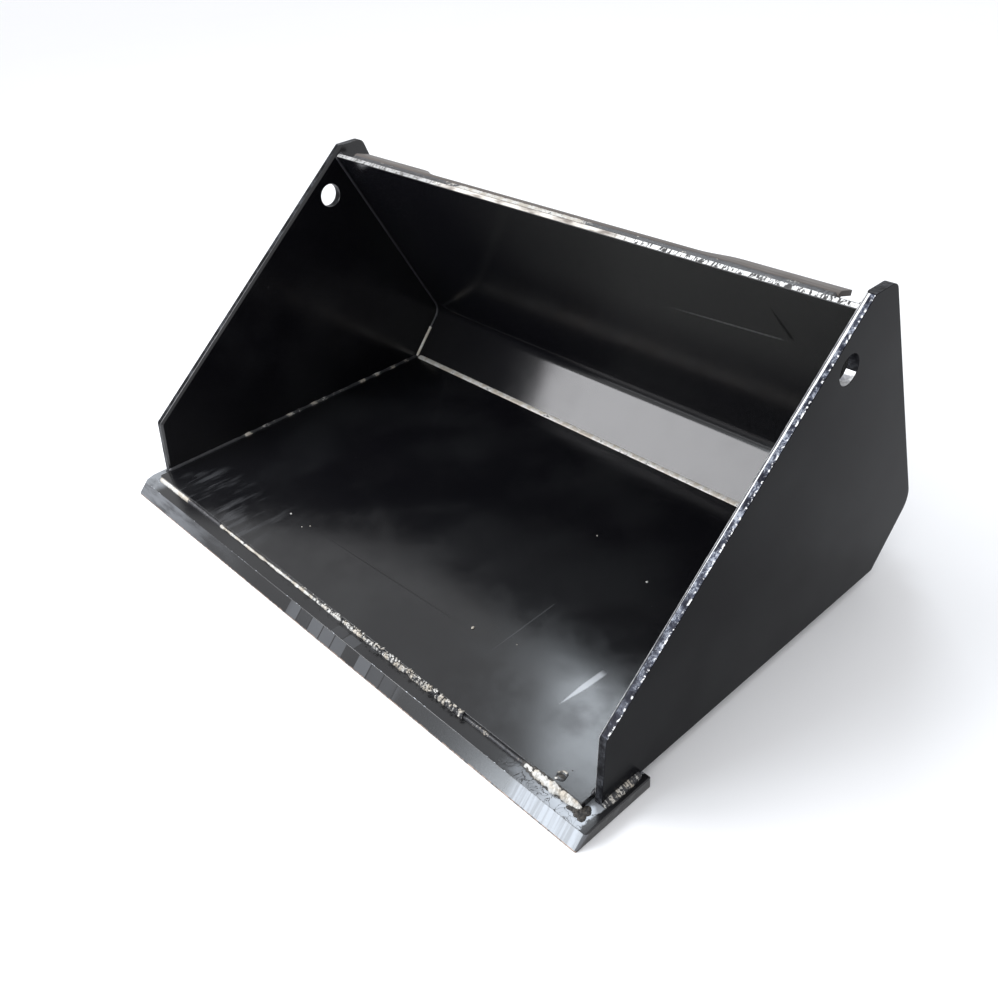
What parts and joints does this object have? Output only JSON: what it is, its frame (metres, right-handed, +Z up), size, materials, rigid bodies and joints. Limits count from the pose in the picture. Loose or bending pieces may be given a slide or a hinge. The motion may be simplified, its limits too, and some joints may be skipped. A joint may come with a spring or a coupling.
{
  "type": "skid steer bucket",
  "caption": "Low-profile skid steer bucket welded from plate, with side plates, a bevelled cutting edge and a hooked quick-attach back.",
  "frame": {"origin": "on the ground under the middle of the bucket's bounding box", "axes": "+X across the bucket to the right side plate, +Y from the cutting edge to the quick attach, +Z up"},
  "size_m": [1.22, 0.8572, 0.5462],
  "materials": {
    "paint": "gloss black paint over welded steel plate",
    "wear_steel": "gloss black paint, scuffed through to steel",
    "weld": "rough weld bead, thinly painted"
  },
  "bodies": {
    "root": {"back_sheet": "paint", "cutting_edge": "wear_steel", "flange_rib_1": "paint", "flange_rib_2": "paint", "flange_rib_3": "paint", "flange_rib_4": "paint", "flange_rib_5": "paint", "flange_rib_6": "paint", "floor_plate": "paint", "pin_flange": "paint", "quick_attach_plate": "paint", "side_plate_left": "paint", "side_plate_right": "paint", "slot_pad_left": "paint", "slot_pad_right": "paint", "wear_bar_1": "wear_steel", "wear_bar_2": "wear_steel", "wear_bar_3": "wear_steel", "wear_bar_4": "wear_steel", "weld_attach_end_left": "weld", "weld_attach_end_right": "weld", "weld_attach_foot": "weld", "weld_back_ear_left": "weld", "weld_back_ear_right": "weld", "weld_back_side_left": "weld", "weld_back_side_right": "weld", "weld_edge_front": "weld", "weld_edge_rear": "weld", "weld_edge_side_left": "weld", "weld_edge_side_right": "weld", "weld_flange_ribs": "weld", "weld_flange_top": "weld", "weld_flange_under": "weld", "weld_floor_heel": "weld", "weld_floor_side_left": "weld", "weld_floor_side_right": "weld", "weld_hook_rim": "weld", "weld_slot_pads": "weld", "weld_wear_bars": "weld"}
  },
  "joints": []
}
